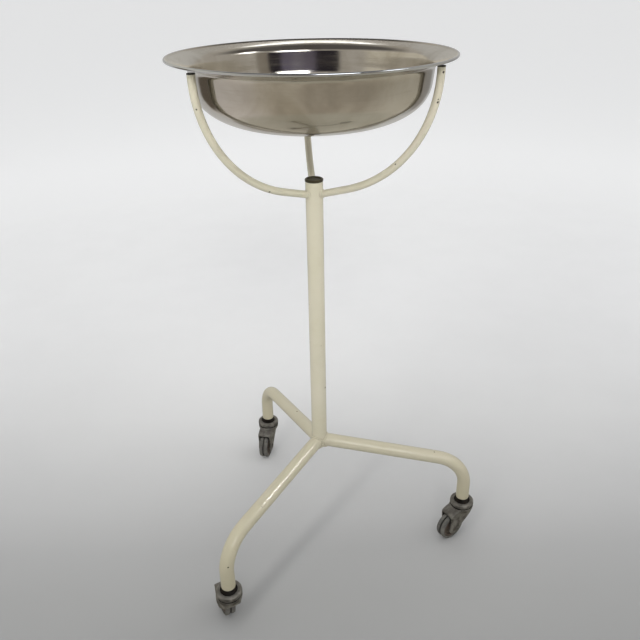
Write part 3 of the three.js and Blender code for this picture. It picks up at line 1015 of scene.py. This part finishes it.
def ball_ring():
    arc = np.linspace(-math.pi / 2, math.pi / 2, 9)[1:-1]
    half_circle = [(0, -BALL_R), *((BALL_R * math.cos(a), BALL_R * math.sin(a)) for a in arc),
                   (0, BALL_R)]
    verts, faces = lathe(half_circle, 14)
    parts = [lathe(lifted(RACE, SEAT_Z), 48)]
    for k in range(BALL_COUNT):
        angle = 2 * math.pi * k / BALL_COUNT
        centre = (BALL_RING_R * math.cos(angle), BALL_RING_R * math.sin(angle), SEAT_Z + BALL_RISE)
        parts.append((verts + np.array(centre), faces))
    return join(parts)


def on_axle(profile, segs):
    """Turn a profile about the wheel's axis instead of Z."""
    verts, faces = lathe(profile, segs)
    verts = np.stack([verts[:, 0], verts[:, 2], -verts[:, 1]], 1)
    return verts + np.array([TRAIL, 0, WHEEL_R]), faces


# name, shape, finish, body it rides, piece it replaces, sharp angle
CASTOR_PARTS = [
    ("casting", fork_shape(), CASTING, "fork_{}", "fork", None),
    ("cup", lathe(rounded(lifted(CUP, SEAT_Z), CUP_CORNERS, 5), 72), CASTING, "fork_{}",
     "swivel_cup", 55),
    ("ball_ring", ball_ring(), GREASY, "fork_{}", "ball_race", 50),
    ("stem_pin", lathe(rounded(STEM, 0.35, 3), 40), GREASY, "stand", "stem", 50),
    ("leg_sleeve", lathe(rounded(lifted(SLEEVE, LEG_END_Z), 0.3, 3), 40), PLASTIC, "stand",
     "stem_sleeve", 50),
    ("axle_rivet", on_axle(rounded(AXLE, 0.3, 3), 32), STEEL, "fork_{}", "axle", 50),
    ("bush", on_axle(BUSH, 36), STEEL, "wheel_{}", "wheel_bush", 50),
    ("hub", on_axle(rounded(HUB, 0.4, 3), 64), CENTRE, "wheel_{}", "wheel_hub", 55),
    ("tread", on_axle(rounded(TYRE, 0.6, 3), 96), RUBBER, "wheel_{}", "tyre", None),
]
for side in CASTOR_SIDES:
    at = (SWIVEL[side][0], SWIVEL[side][1], 0)
    turn = bearing(SWIVEL[side], WHEEL[side])
    for part, shape, finish, body, piece, sharp in CASTOR_PARTS:
        add_mesh(f"castor_{side}_{part}", shape, finish, body.format(side), at, turn,
                 replaced=f"castor_{side}_{piece}", sharp=sharp)

# ---------------------------------------------------------------- floor, in metres
FLOOR_HALF = 60.0
# ramp position (0.2 + 0.4 y), colour; painted shade, darker towards -Y
FLOOR_SHADE_TONES = [
    (0.0, (0.31, 0.31, 0.305)), (0.13, (0.40, 0.40, 0.393)), (0.169, (0.44, 0.44, 0.435)),
    (0.216, (0.53, 0.53, 0.525)), (0.269, (0.605, 0.605, 0.60)), (0.332, (0.69, 0.69, 0.684)),
    (0.412, (0.755, 0.755, 0.751)), (0.52, (0.80, 0.80, 0.797)), (0.64, (0.83, 0.83, 0.83)),
    (1.0, (0.88, 0.88, 0.88)),
]


def floor_material():
    """A pale floor with painted shade darker towards -Y, a painted glow far off, and a separate
    warmer painted reflection colouring for what reflections see.
    """
    mat = Material("floor_pale")
    x, y, _ = mat.split(mat.source("NewGeometry", "Position"))
    # painted shade: the floor darker towards -Y and paler far off
    shaded_tone = mat.ramp(mat.math("MULTIPLY_ADD", y, 0.4, 0.2), FLOOR_SHADE_TONES)
    reach = mat.length(x, y)
    shaded_tone = mat.mix(mat.step(reach, start=0.75, end=1.6), shaded_tone, (0.86, 0.86, 0.855))
    mottle = mat.noise(scale=7.0, detail=5.0, rough=0.6)
    shaded_tone = mat.tint(shaded_tone, mat.step(mottle, start=0.35, end=0.7), (0.2, 0.2, 0.2), amount=0.02)
    # heading from the post in degrees: 0 towards -Y, +90 towards +X
    heading = mat.degrees(mat.sub(x, POST_X * MM), mat.sub(POST_Y * MM, y))
    off_front = mat.math("ABSOLUTE", heading)
    far = mat.length(x, y)
    wave = mat.combine(mat.mul(heading, 0.045), mat.mul(far, 0.25))
    band = mat.step(mat.noise(scale=1.0, detail=3.0, rough=0.55, at=wave), start=0.36, end=0.66)
    # painted reflection: the colours that reflections see on the floor
    painted_reflection = mat.mix(band, srgb(166, 155, 137), srgb(190, 180, 161))
    painted_reflection = mat.mix(mat.step(heading, start=-30.0, end=-85.0), painted_reflection, srgb(220, 211, 201))
    painted_reflection = mat.mix(mat.step(heading, start=35.0, end=90.0), painted_reflection, srgb(200, 192, 174))
    near = mat.step(far, start=0.8, end=0.55)
    painted_reflection = mat.tint(painted_reflection, near, srgb(184, 179, 162), amount=0.8)
    # painted reflection on the +Y side: paler with distance, crossed by a darker line
    rear = mat.step(off_front, start=118.0, end=140.0)
    line = mat.mul(rear, mat.between(far, low=0.70, high=0.86, soft=0.04))
    room = mat.tint(painted_reflection, rear, srgb(208, 205, 200), amount=mat.step(far, start=0.82, end=0.92))
    room = mat.tint(room, rear, srgb(226, 225, 222), amount=mat.step(far, start=1.6, end=2.6))
    room = mat.mix(line, room, srgb(146, 140, 128))
    # painted reflection: two dark streaks, the one towards +X fainter
    strong = mat.between(heading, low=-126.0, high=-104.0, soft=3.0)
    faint = mat.between(heading, low=124.0, high=147.0, soft=3.0)
    streaks = mat.math("MAXIMUM", strong, mat.mul(faint, 0.55))
    room = mat.tint(room, streaks, srgb(102, 91, 77), amount=mat.step(far, start=0.9, end=1.5))
    color = mat.mix(mat.glossy_ray(), shaded_tone, room)
    grain = mat.noise(scale=60.0, detail=4.0, rough=0.6)
    # painted light: the far floor glows a little, except in reflections
    painted_glow = mat.mul(mat.step(reach, start=0.9, end=3.0), mat.sub(1.0, mat.glossy_ray()))
    return mat.finish(Base_Color=color, Roughness=0.75, Specular_IOR_Level=0.15,
                      Normal=mat.bump(grain, strength=0.05, distance=0.001),
                      Emission_Color=(1.0, 1.0, 0.995), Emission_Strength=mat.mul(painted_glow, 0.21))


floor_mesh = bpy.data.meshes.new("floor")
floor_corners = [(x * FLOOR_HALF, y * FLOOR_HALF, 0) for x, y in ((-1, -1), (1, -1), (1, 1), (-1, 1))]
floor_mesh.from_pydata(floor_corners, [], [(0, 1, 2, 3)])
floor = bpy.data.objects.new("floor", floor_mesh)
scene.collection.objects.link(floor)
floor_mesh.materials.append(floor_material())

# ---------------------------------------------------------------- world
AMBIENT = 0.67  # strength of the even light on everything
LAMP = (1.0, 0.99, 0.96)


def build_world():
    world = bpy.data.worlds.new("studio")
    scene.world = world
    world.use_nodes = True
    sky = Graph(world.node_tree)
    output = sky.node("OutputWorld")
    x, y, z = sky.split(sky.source("TexCoord", "Generated"))
    flat = sky.length(x, y)
    # degrees: heading 0 towards -Y and +90 towards +X, rise above the horizon
    heading = sky.degrees(x, sky.mul(y, -1.0))
    rise = sky.degrees(z, flat)
    off_front = sky.math("ABSOLUTE", heading)

    def patch(around, headings, rises, soft, rise_soft):
        return sky.mul(sky.between(around, *headings, soft), sky.between(rise, *rises, rise_soft))

    def glow(color, strength):
        node = sky.node("Background")
        sky.put(node.inputs["Color"], color)
        node.inputs["Strength"].default_value = strength
        return node.outputs[0]

    def cover(mask, under, over):
        node = sky.node("MixShader")
        for socket, value in zip(node.inputs, (mask, under, over)):
            sky.link(value, socket)
        return node.outputs[0]

    # what a first reflection sees: pale walls, a dim ceiling, dark patches towards -Y, lamps
    room = sky.mix(sky.step(rise, start=36.0, end=56.0), srgb(184, 178, 168), srgb(96, 92, 88))
    # angle, heading range, rise range, softness of each, colour
    for *area_seen, color in (
            (off_front, (150.0, 200.0), (-20.0, 31.0), 8.0, 3.0, srgb(190, 187, 180)),
            (heading, (-146.0, -58.0), (-20.0, 34.0), 6.0, 4.0, srgb(212, 205, 188)),
            (heading, (40.0, 58.0), (-8.0, 30.0), 2.5, 4.0, srgb(140, 132, 120)),
            (heading, (-29.0, 45.0), (-8.0, 30.0), 2.0, 4.0, srgb(46, 42, 46)),
            (heading, (-4.0, 31.0), (-8.0, 30.0), 3.0, 4.0, srgb(108, 102, 116)),
            (heading, (8.0, 20.0), (-8.0, 30.0), 3.0, 4.0, srgb(122, 117, 126))):
        room = sky.mix(patch(*area_seen), room, color)
    reflected = glow(room, 1.0)
    # angle, heading range, rise range, softness, strength
    for around, headings, rises, soft, strength in (
            (heading, (3.0, 38.0), (24.0, 45.0), 1.5, 5.0),
            (heading, (68.0, 90.0), (36.0, 48.0), 1.5, 5.0),
            (off_front, (176.2, 190.0), (37.5, 41.0), 0.8, 3.0)):
        lamp = patch(around, headings, rises, soft, soft)
        reflected = cover(lamp, reflected, glow(LAMP, strength))
    # later reflections see only a plain gradient
    plain = sky.mix(sky.step(rise, start=20.0, end=60.0), srgb(224, 217, 203), srgb(192, 186, 175))
    later = sky.math("GREATER_THAN", sky.source("LightPath", "Glossy Depth"), 1.5)
    reflected = cover(later, reflected, glow(plain, 1.0))
    lit = cover(sky.glossy_ray(), glow((0.97, 0.98, 1.0), AMBIENT), reflected)
    backdrop = glow(srgb(228, 228, 227), 1.0)
    seen = cover(sky.source("LightPath", "Is Camera Ray"), lit, backdrop)
    sky.link(seen, output.inputs["Surface"])


build_world()


# ---------------------------------------------------------------- lights, in metres and watts
def area_light(name, at, target, size, power, color=(1, 1, 1), glossy=False):
    data = bpy.data.lights.new(name, "AREA")
    data.shape = "RECTANGLE"
    data.size, data.size_y = size
    data.energy = power
    data.color = color
    light = bpy.data.objects.new(name, data)
    scene.collection.objects.link(light)
    light.location = at
    light.rotation_euler = (Vector(target) - Vector(at)).to_track_quat("-Z", "Y").to_euler()
    light.visible_glossy = glossy
    return light


def direction(turn, rise):
    """Unit vector from radians: turn from +X, rise above the floor."""
    return Vector((math.cos(turn) * math.cos(rise), math.sin(turn) * math.cos(rise),
                   math.sin(rise)))


area_light("softbox_top", at=(0.2, 0.2, 3.2), target=(0, 0.0, 0.3), size=(1.6, 1.2), power=6,
           color=(1.0, 0.99, 0.97))
# a long strip in line with the front leg
stand_foot = Vector((POST_X * MM, POST_Y * MM, 0.1))
strip_at = stand_foot + direction(LEG_TURN["front"], math.radians(64)) * 2.8
area_light("softbox_left", at=strip_at, target=stand_foot, size=(0.3, 3.4), power=19,
           color=(1.0, 0.99, 0.97))

# two small far windows that only draw thin highlights on the paint
painted = bpy.data.collections.new("painted")
for ob in scene.objects:
    if (ob.type == "MESH" and ob.name.startswith(("post", "leg_", "arm_"))
            and any(word in ob.name for word in ("tube", "weld", "post"))
            and "plug" not in ob.name):
        painted.objects.link(ob)
WINDOW_AWAY = 12.0
# heading from -Y towards +X and rise, in degrees; power
for i, (heading, rise, power) in enumerate(((86.0, 45.0, 240), (13.0, 43.0, 40))):
    away = direction(math.radians(heading - 90.0), math.radians(rise)) * WINDOW_AWAY
    window = area_light(f"window_{i}", at=away, target=(0, 0, 0.3), size=(1.3, 1.3),
                        power=power, glossy=True)
    window.visible_diffuse = False
    window.light_linking.receiver_collection = painted

area_light("softbox_right", at=(2.3, 0.4, 2.0), target=(0, 0, 0.2), size=(1.0, 1.0), power=5,
           color=(0.99, 0.995, 1.0))
front = area_light("softbox_front", at=(0.15, -2.0, 1.9), target=(-0.04, 0, 0.80),
                   size=(0.9, 0.7), power=1.75, color=(1.0, 0.99, 0.975))
front.data.spread = math.radians(40)

# ---------------------------------------------------------------- camera
CAMERA_AWAY, CAMERA_Z = 945.86, 931.21                 # mm, from the post towards -Y, and up
PITCH, ROLL, YAW = 0.4859412, -0.0188750, 0.0050632    # radians; pitch is downwards
camera_data = bpy.data.cameras.new("camera")
camera = bpy.data.objects.new("camera", camera_data)
scene.collection.objects.link(camera)
camera_data.sensor_fit = "HORIZONTAL"
camera_data.sensor_width = 36.0
camera_data.lens = 38.0244375
camera_data.clip_start = 0.05
camera_data.clip_end = 100.0
forward = Vector((math.sin(YAW) * math.cos(PITCH), math.cos(YAW) * math.cos(PITCH),
                  -math.sin(PITCH)))
level = Vector((math.cos(YAW), -math.sin(YAW), 0.0))
upright = level.cross(forward)
right = level * math.cos(ROLL) + upright * math.sin(ROLL)
up = -level * math.sin(ROLL) + upright * math.cos(ROLL)
camera_at = Vector((POST_X * MM, (POST_Y - CAMERA_AWAY) * MM, CAMERA_Z * MM))
rotation = Matrix((right, up, -forward)).transposed().to_4x4()
camera.matrix_world = Matrix.Translation(camera_at) @ rotation
scene.camera = camera

scene.view_settings.view_transform = "Standard"
scene.view_settings.look = "None"
scene.view_settings.exposure = 0.0
